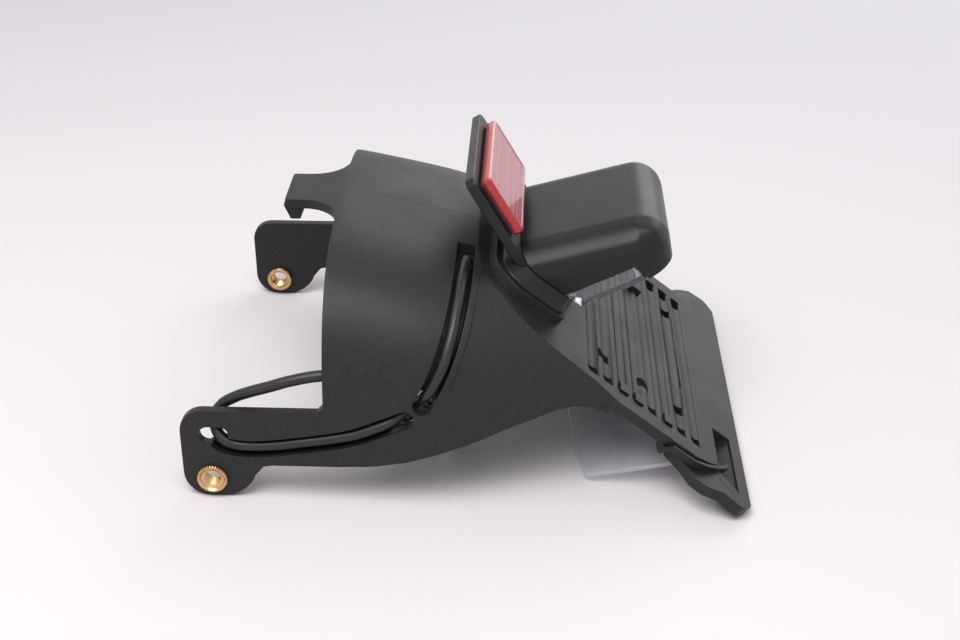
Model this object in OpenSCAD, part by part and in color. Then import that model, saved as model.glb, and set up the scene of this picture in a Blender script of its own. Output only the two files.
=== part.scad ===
// Tail tidy for a motorcycle: a moulded carrier that straddles the end of the rear fender and holds
// the number plate, with a plate lamp, a reflector, a clear spray flap and the lamp's lead.
// X points to the rear of the machine, Y to its right and Z up. Everything is drawn first in the frame
// of the ears, with x = 0 on the insert axis and z = 0 at the ears' lowest point, and is then turned
// a little about Y, so that ears and wing tips stand on z = 0. The origin is the middle of that base.

/* [Shell] */
// Half width of the shell over the ears, outside
shell_half_w = 88; // [80:1:96]
// Height of the crown over the ears' lowest point, at the front edge of the arch
crown_h = 95.5; // [88:0.5:102]
// Fall of the crown for each mm to the rear
crown_fall = 0.2; // [0.16:0.01:0.24]
// Growth of that fall, per mm squared
crown_sag = 0.00066; // [0.0004:0.00005:0.0009]
// Wall of the moulding
wall = 4; // [3:0.25:5]
// How square the arch's section is: 2 is an ellipse
squareness = 3.5; // [2.8:0.1:4.2]
// Front edge of the arch, from the insert axis
arch_front = 45; // [38:1:52]
// Where the shell starts to narrow towards the panel
waist_start = 78; // [70:1:86]
// Length over which it narrows
waist_len = 87; // [76:1:96]
// Height of the lower edge behind the ears
strip_z = 14.6; // [10:0.2:18]

/* [Ears] */
// Front edge of the ears, ahead of the insert axis
ear_nose = 11.4; // [10:0.2:14]
// Height of the ears' upper edge
ear_top = 38.7; // [34:0.5:44]
// Height of the insert axis over the ears' lowest point
insert_z = 8.6; // [8:0.1:10]
// Outer diameter of the threaded inserts
insert_d = 11.5; // [9.5:0.25:12.5]
// Diameter of the inserts' threaded bore
insert_bore_d = 6.6; // [5:0.1:7.4]
// How far the inserts stand proud of the ears
insert_proud = 1.8; // [0.5:0.1:3]

/* [Tongue] */
// Half width of the tongue on the crown
tongue_half_w = 13.5; // [10:0.5:17]
// Front edge of the tongue, from the insert axis
tongue_front = 22.5; // [18:0.5:28]
// Radius of the flare between tongue and arch
flare_r = 15; // [10:0.5:20]
// Depth of the hook under the tongue
hook_drop = 9; // [6:0.5:12]

/* [Plate panel] */
// Distance of the panel's upper edge behind the insert axis
plate_x = 102; // [98:1:106]
// Slope of the panel against the ears' base
plate_slope = 37.8; // [36:0.2:40]
// Length of the panel and wings, down the slope
plate_len = 141.5; // [138:0.5:146]
// Half width of the ribbed panel
panel_half_w = 71.5; // [69:0.5:74]
// Thickness of the panel
panel_t = 4.5; // [3.5:0.25:5.5]
// Half width over the wings
wing_half_w = 87; // [84:0.5:90]
// Thickness of the wings
wing_t = 5; // [4:0.25:6]
// Number of lateral grooves in the panel
groove_count = 8; // [6:1:8]
// Distance from groove to groove
groove_pitch = 7.75; // [7:0.25:8]
// Width of a groove
groove_w = 3.6; // [2.6:0.2:4.6]
// Depth of a groove
groove_deep = 1.6; // [1:0.2:2.4]
// Distance from the grooves' ends to the panel's side edges
groove_margin = 9.5; // [7.5:0.5:13.5]
// Distance of the screw holes from the middle of the panel
screw_hole_y = 42; // [39:0.5:45]
// Side of the square screw holes
screw_hole = 6; // [4.5:0.5:7]
// Inner end of the strap slots, from the middle
slot_in = 38.3; // [34:0.5:44]
// Outer end of the strap slots, from the middle
slot_out = 77.5; // [75:0.5:79]
// Width of the strap slots, down the slope
slot_w = 9.5; // [8:0.25:10]
// Height of the straps that end in the slots
strap_h = 3.4; // [3:0.2:4.2]

/* [Lamp] */
// Height of the raised seat for the lamp on the carrier
seat_h = 4; // [3:0.25:5]
// Height of the lamp's base on that seat
base_h = 6; // [5:0.25:7]
// Half width of the hood
hood_half_w = 38.5; // [35:0.5:41]
// Length of the hood along its top
hood_len = 58.7; // [54:0.5:63]
// Rise of the hood's top to the rear
hood_rise = 15.7; // [14:0.1:17]
// Wall of the hood
hood_wall = 2.5; // [1.5:0.25:3]
// Radius along the hood's long upper edges
hood_edge_r = 14; // [10:0.5:14.5]
// Thickness of the lens in the hood's underside
lens_t = 2; // [1.5:0.25:2.5]
// Thickness of the lamp's circuit board
board_t = 1.6; // [1:0.2:2]
// Number of light sources on the board
led_count = 3; // [2:1:5]
// Thread diameter of the lamp's screws
lamp_screw_d = 4; // [3:0.5:5]

/* [Reflector] */
// Half width of the bracket plate that carries the reflector
bracket_half_w = 37; // [34:0.5:40]
// Thickness of the bracket plate
bracket_t = 4; // [3:0.25:5]
// Length of the bracket plate
bracket_len = 44; // [42:0.5:48]
// Lean of the bracket plate from upright
bracket_lean = 30.5; // [29:0.5:32]
// Half width of the reflector
reflector_half_w = 32; // [28:0.5:34]
// Height of the reflector, along the bracket
reflector_h = 26.8; // [22:0.5:28]
// Thickness of the reflector's red lens
reflector_t = 3; // [2:0.25:4]
// Thickness of the reflector's back plate
back_t = 1; // [0.6:0.1:1.5]
// Thickness of the foam pad behind the reflector
pad_t = 1; // [0.6:0.1:1.5]

/* [Spray flap] */
// Thickness of the clear sheet
flap_t = 2; // [1.5:0.25:2.5]
// Half width of the flap
flap_half_w = 65; // [58:0.5:66]
// Reach of the flap ahead of its fold
flap_reach = 38; // [30:1:44]

/* [Lead] */
// Diameter of the lamp's lead
lead_d = 4.6; // [3.8:0.1:4.8]
// Gap between the lead and the walls of its channel
channel_gap = 1.4; // [1:0.1:1.6]

/* [Hidden] */

// Smoothness of circles and the steps of the shell
$fn = 48;
SECTION_STEPS = 28;
SHELL_STEP = 11;
ARC_STEPS = 6;
// Clearance between pieces that fit together
fit = 0.1;
// Length by which a cut runs past what it cuts
past = 1;

// Values that follow from the sizes above
plate_z = crown_z(plate_x);
shell_end = plate_x + 74;
seat_front = 7;
seam = seat_h + base_h;
insert_ear = wall + 0.4;
slot_s = plate_len - slot_w - 6;
step_s = slot_s - 2;
first_groove = 60.5;
groove_half_len = panel_half_w - groove_margin;

// Rounded outlines: each corner is [x, y, radius]
function unit(v) = v / norm(v);
function turn(a) = a > 180 ? a - 360 : a < -180 ? a + 360 : a;
function corner(a, p, b, r) =
    let (u = unit(a - p))
    let (v = unit(b - p))
    let (half = acos(u * v) / 2)
    let (c = p + unit(u + v) * r / sin(half))
    let (s = p + u * r / tan(half) - c)
    let (e = p + v * r / tan(half) - c)
    let (from = atan2(s.y, s.x))
    let (sweep = turn(atan2(e.y, e.x) - from))
    [for (i = [0:ARC_STEPS]) c + r * [cos(from + sweep * i / ARC_STEPS), sin(from + sweep * i / ARC_STEPS)]];
function flat(p) = [p.x, p.y];
function rounded(p) = [
    for (i = [0:len(p) - 1])
        each p[i][2] > 0
            ? corner(flat(p[(i + len(p) - 1) % len(p)]), flat(p[i]), flat(p[(i + 1) % len(p)]), p[i][2])
            : [flat(p[i])]
];
function arc(c, r, from, to) = [
    for (i = [0:ARC_STEPS]) c + r * [cos(from + (to - from) * i / ARC_STEPS), sin(from + (to - from) * i / ARC_STEPS)]
];
function mirrored(p) = concat(p, [for (i = [len(p) - 1:-1:0]) [p[i].x, -p[i].y]]);

// The arch is lofted from squarish elliptical sections that narrow and fall to the rear
function smooth(t) = let (u = min(1, max(0, t))) u * u * (3 - 2 * u);
function half_w(x) = shell_half_w - (shell_half_w - panel_half_w) * smooth((x - waist_start) / waist_len);
function crown_z(x) = let (u = max(0, x - arch_front)) crown_h - crown_fall * u - crown_sag * u * u;
function signed_root(v) = sign(v) * pow(abs(v), 2 / squareness);
function section(x, inset) = [
    for (i = [0:SECTION_STEPS])
        let (t = 180 * i / SECTION_STEPS)
        [x, (inset - half_w(x)) * signed_root(cos(t)), (crown_z(x) - inset) * signed_root(sin(t))]
];
function ring(x, inset, low) = concat([[x, inset - half_w(x), low]], section(x, inset),
    [[x, half_w(x) - inset, low]]);
function shell_stations(from) = concat([from], [for (x = [arch_front:SHELL_STEP:shell_end]) x], [shell_end + 4]);

// A solid skinned over rings of points, each ring as long as the next
module skin(rings) {
    n = len(rings[0]);
    last = len(rings) - 1;
    sides = [
        for (i = [0:last - 1], j = [0:n - 1])
            let (a = i * n + j)
            let (b = i * n + (j + 1) % n)
            each [[a, b, a + n], [b, b + n, a + n]]
    ];
    polyhedron(
        points = [for (r = rings) each r],
        faces = concat(sides, [[for (j = [n - 1:-1:0]) j], [for (j = [0:n - 1]) last * n + j]])
    );
}

module shell_form(inset, from, low) {
    skin([for (x = shell_stations(from)) ring(x, inset, low)]);
}

// A round tube along points, its rings carried along without a twist
function tangents(p) = [for (i = [0:len(p) - 1]) unit(p[min(i + 1, len(p) - 1)] - p[max(i - 1, 0)])];
function carried(n, t) = unit(n - (n * t) * t);
function normals(t, start) = [
    for (i = 0, n = carried(start, t[0]); i < len(t); i = i + 1, n = i < len(t) ? carried(n, t[i]) : n) n
];
module tube(p, r, sides, start = [0, 1, 0.3]) {
    t = tangents(p);
    n = normals(t, start);
    skin([
        for (i = [0:len(p) - 1])
            [for (k = [0:sides - 1]) p[i] + r * (cos(360 * k / sides) * n[i] + sin(360 * k / sides) * cross(n[i], t[i]))]
    ]);
}

// The plane of the panel: x runs down the slope, z stands off it
module on_plate() {
    translate([plate_x, 0, plate_z]) rotate([0, plate_slope, 0]) children();
}
function plate_point(s, y, off) = [
    plate_x + s * cos(plate_slope) + off * sin(plate_slope),
    y,
    plate_z - s * sin(plate_slope) + off * cos(plate_slope)
];
// An outline in the side view, made as wide as given
module side_view(half) {
    translate([0, half, 0]) rotate([90, 0, 0]) linear_extrude(height = 2 * half) children();
}
module both_sides() {
    children();
    mirror([0, 1, 0]) children();
}

// Rest: ears and wing tips on the ground, the origin in the middle of the base
ear_lobe_r = 10.4;
ear_lobe = [ear_lobe_r - ear_nose, ear_lobe_r];
ear_front_r = 9;
tip = plate_point(plate_len, 0, -wing_t);
tip_away = [tip.x, tip.z] - ear_lobe;
rest_tilt = atan2(tip_away.y, tip_away.x) + asin(ear_lobe_r / norm(tip_away));
lift = ear_lobe_r - (-ear_lobe.x * sin(rest_tilt) + ear_lobe.y * cos(rest_tilt));
ear_corner = [ear_front_r - ear_nose, ear_top - ear_front_r];
end_edge = plate_point(plate_len, 0, 0);
front_x = ear_corner.x * cos(rest_tilt) + ear_corner.y * sin(rest_tilt) - ear_front_r;
rear_x = end_edge.x * cos(rest_tilt) + end_edge.z * sin(rest_tilt);
mid_x = (front_x + rear_x) / 2;
module at_rest() {
    translate([-mid_x, 0, lift]) rotate([0, rest_tilt, 0]) children();
}
function rest_point(p) = [
    p.x * cos(rest_tilt) + p.z * sin(rest_tilt) - mid_x,
    p.y,
    -p.x * sin(rest_tilt) + p.z * cos(rest_tilt) + lift
];

// The lead's route. The first points lie in the frame of the ears, on the part: out of the lamp, up
// through the crown, down the upper channel, behind the bridge, along the lower channel, in through
// the slot in the left ear and back behind it. The rest lie on the ground inside the arch.
LEAD_HELD = [
    [123, -14, 73.1], [118, -14, 66.7], [114.6, -14, 62.3], [111, -14.4, 59.3], [106.8, -15.4, 58.1],
    [102.7, -17, 59.2], [99.8, -19, 62.3], [98.5, -21.3, 66.5], [98.1, -24, 71], [98, -27.6, 75],
    [98, -32, 78.2], [98, -37.2, 79.8], [97.7, -43.5, 79.6], [97, -51, 78], [96.5, -58, 75.5],
    [95.5, -65, 72], [94.5, -71, 67.5], [93, -75.5, 62.5], [91.5, -78.6, 57.5], [89.7, -80.4, 53.5],
    [87.8, -81.4, 49.6], [85.6, -81.8, 46], [83.2, -80.8, 42.4], [80.4, -79.6, 39], [77.2, -80.1, 36.6],
    [73.6, -82.1, 34.9], [69.6, -84.1, 33.2], [64.5, -85, 31.3], [57.5, -85.2, 28.6], [48.5, -85.2, 26.5],
    [36.5, -85.2, 24.5], [24.5, -85.2, 22.7], [15, -85.2, 22.3], [9, -85.2, 23], [4.5, -84.6, 25.2],
    [1.8, -82.4, 28.8], [1.6, -79.8, 32.5], [4, -78.6, 36.6], [9, -78.4, 40], [15.5, -78.6, 42.8],
    [23, -78.8, 45.3], [32, -78.8, 48.3], [44, -77.8, 50.3], [55, -75.3, 49.3], [64, -71.5, 45]
];
LEAD_LOOSE = [
    [-28, -66, 39], [-20, -59, 28], [-15, -52.5, 17.5], [-12.5, -46, 9.5], [-11.9, -39.5, 4.5],
    [-11.9, -33.5, 2.5], [-11.9, -29.2, 2.4]
];
route = concat([for (p = LEAD_HELD) rest_point(p)], LEAD_LOOSE);
COIL_CENTRE = [-36.5, -12];
coil_r = 20;
coil_turns = 2;
CONNECTOR_AT = [-36.5, 20.7];
connector = [22, 11, 9];
connector_wall = 1.3;
mouth_deep = 12;

// The channels are bands in the side view, cut into the left side of the shell
channel_w = lead_d + 2 * channel_gap;
channel_deep = 5.2;
backing = 3.4;
upper_line = [[98.2, 84], [97.6, 80], [96.2, 74], [94.3, 67], [91.5, 59], [87.5, 50], [83.2, 42]];
lower_line = [
    [76.5, 36], [73.5, 34.9], [66.5, 32], [57.5, 28.5], [48.5, 26.3], [36.5, 24.3], [24.5, 22.6], [15, 22],
    [6.5, 23.3], [3, 26]
];
channel_top_y = 25.5;
// The lead passes the wall at these places: the crown, and both sides of the bridge in the side view
crown_hole_y = [-28, -32];
bridge_holes = [[69.8, 33.8], [73, 35.2], [76.5, 36.2], [83.5, 42.5]];
bridge = [80, 39.2];
bridge_inner_y = 82.2;
// A band of even width along a line
function band(line, half) =
    let (t = tangents(line))
    concat([for (i = [0:len(line) - 1]) line[i] + half * [-t[i].y, t[i].x]],
        [for (i = [len(line) - 1:-1:0]) line[i] - half * [-t[i].y, t[i].x]]);
module channel_band(line, grow) {
    translate([0, -channel_top_y + grow, 0]) rotate([90, 0, 0])
        linear_extrude(height = shell_half_w - channel_top_y + grow + past) polygon(band(line, channel_w / 2 + grow));
}

// Outline of arch and panel in the side view, with the arched lower edge
arch_low = [
    [arch_front, strip_z], [50, strip_z], [64, strip_z + 0.5], [76, strip_z + 2.5], [92, strip_z + 7],
    [105.5, strip_z + 11], [115, strip_z + 14.3], [128.6, strip_z + 18], [136, strip_z + 20],
    [142, strip_z + 20.6], [149, strip_z + 19.4], [155, strip_z + 16.5]
];
rim_s = 73;
module arch_outline() {
    top = plate_point(-60, 0, 0);
    rim = plate_point(rim_s, 0, 0);
    rim_low = plate_point(rim_s, 0, -panel_t - 1);
    polygon(concat(arch_low, [[rim_low.x, rim_low.z], [rim.x, rim.z], [top.x, top.z], [arch_front, top.z]]));
}
module ear_outline() {
    polygon(concat(
        arc(ear_lobe, ear_lobe_r, 180, 270),
        arc([3, 15], 15, 272, 340),
        [[20.5, strip_z - 0.6], [24, strip_z]],
        [[arch_front + past, strip_z], [arch_front + past, ear_top + 2.4], [arch_front, ear_top + 2.4],
            [arch_front - 2.4, ear_top]],
        arc(ear_corner, ear_front_r, 90, 180)
    ));
}
module tongue_outline() {
    flare_x = arch_front - flare_r;
    polygon(mirrored(concat(
        [[tongue_front, tongue_half_w - 1.5], [tongue_front + 1.5, tongue_half_w]],
        arc([flare_x, tongue_half_w + flare_r], flare_r, 270, 360),
        [[arch_front + past, tongue_half_w + flare_r]]
    )));
}

// Outline of one wing, down the slope and outwards, and the full panel
wing_root_s = 103;
wing_root_y = flap_half_w + 1;
wing_corners = [
    [wing_root_s, wing_root_y, 0], [wing_root_s, panel_half_w, 1], [112, panel_half_w + 5.5, 8],
    [119, wing_half_w - 3.5, 6], [plate_len - 5, wing_half_w, 5], [plate_len, wing_half_w - 6, 3],
    [plate_len, 0, 0], [step_s, 0, 0], [step_s - 2, wing_root_y, 0]
];
ramp_s = 116;
module wing_side() {
    polygon([
        [wing_root_s - past, -panel_t], [ramp_s, -panel_t], [slot_s, 0], [plate_len + past, 0],
        [plate_len + past, -wing_t], [slot_s, -wing_t], [ramp_s, -panel_t - wing_t + 0.6],
        [wing_root_s - past, -panel_t - wing_t + 1.5]
    ]);
}
module panel_outline() {
    end = slot_s + 0.5;
    polygon(mirrored([
        [rim_s - 14, panel_half_w - 8], [rim_s, panel_half_w], [114, panel_half_w],
        [end - 5, panel_half_w - 2.5], [end, panel_half_w - 5.5]
    ]));
}
module slot_outline() {
    polygon(rounded([
        [slot_s, slot_in, 1], [slot_s + slot_w, slot_in, 1], [slot_s + slot_w, slot_out, 1.5], [slot_s, slot_out, 1]
    ]));
}

// Seat and base of the lamp share one outline, which narrows as it rises
seat_corners = [[seat_front, 0, 0], [seat_front, 36, 14], [17, 46.5, 14], [28, 46, 3], [41.4, 46.5, 5], [46.9, 30, 0], [46.9, 0, 0]];
base_corners = [[10, 0, 0], [10, 35, 12], [15, 45, 12], [27, 45, 3], [40, 44, 5], [45.5, 29, 0], [45.5, 0, 0]];
base_top_corners = [[14.5, 0, 0], [14.5, 33, 9.5], [20, 39.5, 9.5], [27, 39.5, 3], [39, 39, 5], [44, 28, 0], [44, 0, 0]];
function full(corners) = let (p = rounded(corners)) mirrored(p);
function lifted(p, z) = [for (q = p) [q.x, q.y, z]];
screw_y = 26;
screw_places = [[30, screw_y], [30, -screw_y]];
cable_hole = [22, -14];
cable_hole_d = lead_d + 4;

module lamp_seat() {
    on_plate() translate([0, 0, -past]) linear_extrude(height = seat_h + past) polygon(full(seat_corners));
}

module shell() {
    intersection() {
        difference() {
            shell_form(0, -ear_nose - 4, -6);
            intersection() {
                shell_form(wall, -ear_nose - 6, -8);
                on_plate() translate([-170, -shell_half_w, -panel_t - 190]) cube([400, 2 * shell_half_w, 190]);
            }
        }
        union() {
            side_view(shell_half_w + past) arch_outline();
            side_view(shell_half_w + past) ear_outline();
            translate([0, 0, crown_h - 20]) linear_extrude(height = 24) tongue_outline();
        }
    }
}

module hook() {
    low = crown_h - hook_drop;
    side_view(tongue_half_w - 0.5) polygon([
        [tongue_front, crown_h - 1], [tongue_front - 0.6, crown_h - 3], [tongue_front + 2, low],
        [tongue_front + 6, low], [tongue_front + 8, crown_h - wall], [tongue_front + 8, crown_h - 1]
    ]);
}

module panel() {
    on_plate() translate([0, 0, -panel_t]) linear_extrude(height = panel_t) panel_outline();
    intersection() {
        on_plate() translate([0, 0, -30]) linear_extrude(height = 40) both_sides() polygon(rounded(wing_corners));
        on_plate() side_view(wing_half_w + past) wing_side();
    }
}

// A curved strap at each side comes out from under the panel, lies on the wing and ends in the slot
strap_half = 0.9;
strap_line = [
    [99.7, panel_half_w - 5, -strap_h], [100.2, panel_half_w + 1.2, -strap_h],
    [101.2, panel_half_w + 1.5, -strap_h / 2], [102.6, panel_half_w + 1.5, 0], [109, panel_half_w + 1.6, 0],
    [114, panel_half_w + 1.6, 0.1], [119, panel_half_w + 1.2, 1.1], [123.5, panel_half_w - 0.6, 2],
    [127.5, panel_half_w - 3.6, 2.5], [130, panel_half_w - 6.8, 2.7]
];
module strap() {
    points = [for (p = strap_line) p + [0, 0, fit - panel_t]];
    last = len(points) - 1;
    on_plate() skin([
        for (i = [0:last])
            let (a = points[max(0, i - 1)])
            let (b = points[min(last, i + 1)])
            let (d = unit([b.x - a.x, b.y - a.y]))
            let (n = [-d.y, d.x, 0] * strap_half)
            let (high = [0, 0, strap_h])
            [points[i] + n, points[i] - n, points[i] - n + high, points[i] + n + high]
    ]);
}

module panel_cuts() {
    on_plate() {
        for (i = [0:groove_count - 1])
            translate([first_groove + i * groove_pitch - groove_w / 2, 0, 0]) {
                side_view(groove_half_len) polygon([
                    [0.4, -groove_deep], [groove_w - 0.4, -groove_deep], [groove_w + 0.4, past], [-0.4, past]
                ]);
                both_sides()
                    translate([0, groove_half_len - 3.4, -panel_t - past]) cube([groove_w, 3.4, panel_t + 2 * past]);
            }
        for (s = [66.4, 88, 107])
            both_sides()
                translate([s - screw_hole / 2, screw_hole_y - screw_hole / 2, -panel_t - past])
                    cube([screw_hole, screw_hole, panel_t + 2 * past]);
        both_sides() translate([0, 0, -12]) linear_extrude(height = 20) slot_outline();
        for (p = screw_places)
            translate([p.x, p.y, -panel_t - past]) cylinder(d = lamp_screw_d + 0.5, h = panel_t + seat_h + 2 * past);
        translate([cable_hole.x, cable_hole.y, -panel_t - past]) cylinder(d = cable_hole_d, h = panel_t + seat_h + 2 * past);
    }
}

// The wall is thicker behind the channels, inside
module channel_backing() {
    intersection() {
        difference() {
            shell_form(0.2, -ear_nose - 4, -6);
            shell_form(wall + backing, -ear_nose - 8, -9);
        }
        union() {
            channel_band(upper_line, 2);
            channel_band(lower_line, 2);
        }
    }
}
module channels() {
    difference() {
        union() {
            channel_band(upper_line, 0);
            channel_band(lower_line, 0);
        }
        shell_form(channel_deep, -ear_nose - 8, -9);
    }
    for (y = crown_hole_y) translate([upper_line[0].x, y, 60]) cylinder(d = channel_w, h = 40);
    for (p = bridge_holes) translate([p.x, -60, p.y]) rotate([90, 0, 0]) cylinder(d = channel_w, h = 40);
    translate([bridge.x, -60, bridge.y]) rotate([90, 0, 0]) cylinder(d = channel_w, h = bridge_inner_y - 60);
}

// Slot in the left ear, through which the lead turns to the inside
ear_slot_w = lead_d + 2.6;
ear_slot_from = [-0.5, 28];
ear_slot_run = 4.5;
module ear_slot() {
    deep = wall + backing + 2 * past;
    translate([ear_slot_from.x, -shell_half_w - past, ear_slot_from.y]) rotate([-90, 0, 0]) {
        cylinder(d = ear_slot_w, h = deep);
        translate([ear_slot_run, 0, 0]) cylinder(d = ear_slot_w, h = deep);
        translate([0, -ear_slot_w / 2, 0]) cube([ear_slot_run, ear_slot_w, deep]);
    }
}

module carrier() color("#26262a") at_rest() difference() {
    union() {
        shell();
        hook();
        panel();
        lamp_seat();
        channel_backing();
        both_sides() strap();
    }
    panel_cuts();
    both_sides()
        translate([0, shell_half_w - wall - 3, insert_z]) rotate([-90, 0, 0]) cylinder(d = insert_d, h = wall + 5);
    channels();
    ear_slot();
}

// Threaded insert: knurled body with a lead-in at both mouths
module insert() {
    long = insert_ear + insert_proud;
    bevel = 0.5;
    translate([0, shell_half_w - insert_ear, insert_z]) rotate([-90, 0, 0]) difference() {
        rotate_extrude() polygon([
            [0, 0], [insert_d / 2 - bevel, 0], [insert_d / 2, bevel], [insert_d / 2, insert_ear],
            [insert_d / 2 + 0.4, insert_ear + 0.2], [insert_d / 2 + 0.4, long - bevel],
            [insert_d / 2 - bevel, long], [0, long]
        ]);
        translate([0, 0, -past]) cylinder(d = insert_bore_d, h = long + 2 * past);
    }
}
module right_insert() color("#c9962f") at_rest() insert();
module left_insert() color("#c9962f") at_rest() mirror([0, 1, 0]) insert();

// Bracket frame: x runs down the plate from its top edge, z stands off its front face to the rear
bracket_foot = plate_point(17.9, 0, 6);
module on_bracket() {
    translate(bracket_foot) rotate([0, 90 - bracket_lean, 0]) translate([-bracket_len, 0, 0]) children();
}

module bracket_form(gap) {
    on_bracket() translate([0, 0, -gap]) linear_extrude(height = bracket_t + 2 * gap) polygon(rounded([
        [0, -bracket_half_w, 4], [0, bracket_half_w, 4], [bracket_len + gap, bracket_half_w + gap, 2],
        [bracket_len + gap, -bracket_half_w - gap, 2]
    ]));
}
module reflector_bracket() color("#232326") at_rest() bracket_form(0);

reflector_top = 4.5;
lens_edge = 0.8;
module reflector_layer(from, thick, inset) {
    on_bracket() translate([0, 0, bracket_t + from]) linear_extrude(height = thick) polygon(rounded([
        [reflector_top + inset, -reflector_half_w + inset, 1.5], [reflector_top + inset, reflector_half_w - inset, 1.5],
        [reflector_top + reflector_h - inset, reflector_half_w - inset, 1.5],
        [reflector_top + reflector_h - inset, -reflector_half_w + inset, 1.5]
    ]));
}
module reflector_pad() color("#3a3a3c") at_rest() reflector_layer(0, pad_t, 1);
module reflector_back() color("#8c0f16") at_rest() reflector_layer(pad_t, back_t, 0);
module reflector_lens() color("#c2121f") at_rest() {
    reflector_layer(pad_t + back_t, reflector_t - lens_edge, 0);
    reflector_layer(pad_t + back_t + reflector_t - lens_edge, lens_edge, lens_edge);
}

// Base of the lamp, with a slot that takes the bracket's foot
module base_form() {
    on_plate() skin([
        lifted(full(base_corners), seat_h + gasket_t),
        lifted(full(base_corners), seat_h + gasket_t + base_foot_h),
        lifted(full(base_top_corners), seam)
    ]);
}
gasket_t = 0.5;
gasket_inset = 0.4;
base_foot_h = 0.8;
base_floor = 2.5;
pocket = [18, 34];
module lamp_base() color("#1f1f22") at_rest() difference() {
    base_form();
    bracket_form(fit);
    on_plate() {
        translate([cable_hole.x, -pocket.y / 2, seat_h + base_floor]) cube([pocket.x, pocket.y, base_h]);
        for (p = screw_places)
            translate([p.x, p.y, seat_h]) cylinder(d = lamp_screw_d, h = base_h + past);
        translate([cable_hole.x, cable_hole.y, seat_h]) cylinder(d = lead_d + 0.4, h = base_h + past);
    }
}
module lamp_gasket() color("#2b2b2b") at_rest() on_plate() translate([0, 0, seat_h]) difference() {
    linear_extrude(height = gasket_t) polygon(full([for (c = base_corners) [c.x < 20 ? c.x + gasket_inset : c.x - gasket_inset, max(0, c.y - gasket_inset), c[2]]]));
    for (p = screw_places)
        translate([p.x, p.y, -past]) cylinder(d = lamp_screw_d + 0.5, h = 3);
    translate([cable_hole.x, cable_hole.y, -past]) cylinder(d = cable_hole_d, h = 3);
}

// Hood frame: x runs along the top from its front edge, z stands off the top
// Front edge of the hood's top, along and off the panel
hood_front = plate_point(13.4, 0, 13.4);
hood_foot_s = 46.5;
hood_depth = 21.2;
module on_hood() {
    translate(hood_front) rotate([0, -hood_rise, 0]) children();
}
module hood_form(inset) {
    rear = hood_len - inset;
    side = hood_half_w - inset;
    edge = max(1, hood_edge_r - inset);
    intersection() {
        on_hood() side_view(side) polygon(rounded([
            [-12, -inset, 0], [rear, -inset, edge], [rear - 1.8, inset - hood_depth, 5.5],
            [hood_foot.x + 0.4 * inset, hood_foot.y + inset, 0.5], [-12, -16, 0]
        ]));
        on_hood() translate([0, 0, -40]) linear_extrude(height = 60) polygon(rounded([
            [-14, -side, 0], [-14, side, 0], [rear, side, edge + 2], [rear, -side, edge + 2]
        ]));
        on_hood() translate([-14, 0, 0]) rotate([90, 0, 90]) linear_extrude(height = hood_len + 20) polygon(rounded([
            [-side, -45, 0], [side, -45, 0], [side, -inset, edge], [-side, -inset, edge]
        ]));
        on_plate() translate([0, 0, seam - (inset > 0 ? past : 0)]) linear_extrude(height = 90)
            translate([-20, -60]) square([160, 120]);
        on_bracket() translate([-60, -60, bracket_t + inset]) cube([140, 120, 120]);
    }
}
// The hood's lower front corner, seen in the hood frame
hood_foot_at = plate_point(hood_foot_s, 0, seam) - hood_front;
hood_foot = [
    hood_foot_at.x * cos(hood_rise) + hood_foot_at.z * sin(hood_rise),
    hood_foot_at.z * cos(hood_rise) - hood_foot_at.x * sin(hood_rise)
];
under = [hood_len - 1.8, -hood_depth] - hood_foot;
under_len = norm(under);
under_tilt = atan2(under.y, under.x);
// Frame of the underside: x runs from the foot to the rear edge, z points into the hood
module on_underside() {
    on_hood() translate([hood_foot.x, 0, hood_foot.y]) rotate([0, -under_tilt, 0]) children();
}
lens_h = 5.5;
lens_len = 29.5;
lens_half_w = hood_half_w - 0.4;
module lens_form(inset, top) {
    on_underside() side_view(lens_half_w - inset) polygon(rounded([
        [-8.4 + inset, lens_h + top, 0], [inset * 1.2, inset, 0.4], [lens_len - inset, inset, 1],
        [lens_len - 2.5 - inset, lens_h + top, 1.5]
    ]));
}
module lamp_hood() color("#1c1c1f") at_rest() difference() {
    hood_form(0);
    difference() {
        hood_form(hood_wall);
        on_underside() for (y = [-boss_y, boss_y])
            translate([boss_x, y, board_lift + board_t]) cylinder(d = 6, h = 40);
    }
    intersection() {
        on_underside() side_view(hood_half_w + past) polygon([
            [-9, lens_h + fit], [-9, -8], [lens_len + fit, -8], [lens_len + fit, 0], [lens_len - 2.5 + fit, lens_h + fit]
        ]);
        on_plate() translate([0, -60, seam - past]) cube([120, 120, 60]);
    }
    on_underside() for (y = [-boss_y, boss_y]) translate([boss_x, y, board_lift - 8]) cylinder(d = board_screw_d, h = 14);
}
module lamp_lens() color("#dfe6ea", 0.4) at_rest() intersection() {
    difference() {
        lens_form(0, 0);
        lens_form(lens_t, past);
    }
    on_plate() translate([0, -60, seam]) cube([120, 120, 60]);
}

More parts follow.
